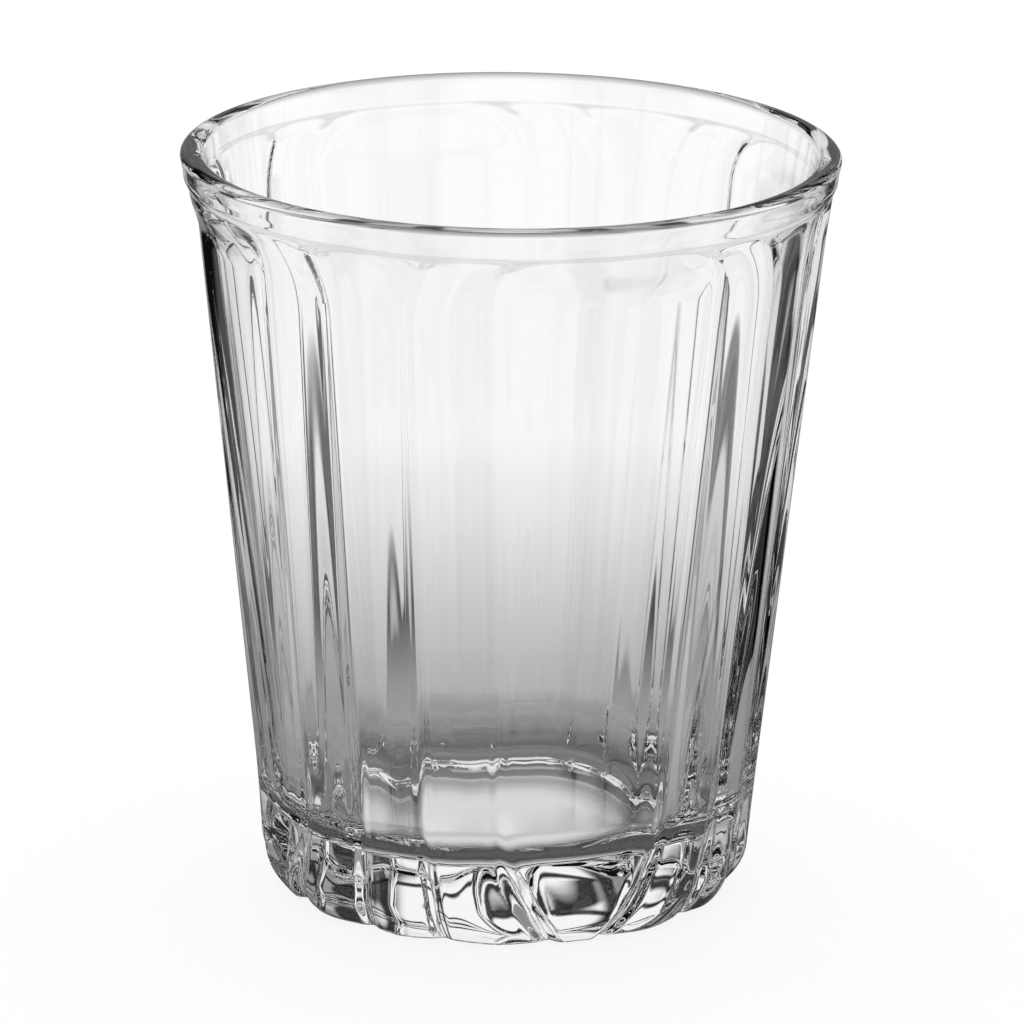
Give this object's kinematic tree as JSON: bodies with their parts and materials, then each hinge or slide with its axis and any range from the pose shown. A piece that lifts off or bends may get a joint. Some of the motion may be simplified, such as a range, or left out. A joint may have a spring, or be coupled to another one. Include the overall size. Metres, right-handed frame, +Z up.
{
  "type": "juice glass",
  "caption": "Clear pressed-glass juice tumbler: conical wall of wide and narrow plates with soft grooves between them, plain rounded lip and thick base.",
  "frame": {"origin": "middle of the foot, on the table", "axes": "+Z up along the axis of the glass, -Y towards the front of the picture, +X to the right"},
  "size_m": [0.072, 0.072, 0.083],
  "materials": {
    "clear_glass": "polished clear"
  },
  "bodies": {
    "root": {"tumbler": "clear_glass"}
  },
  "joints": []
}
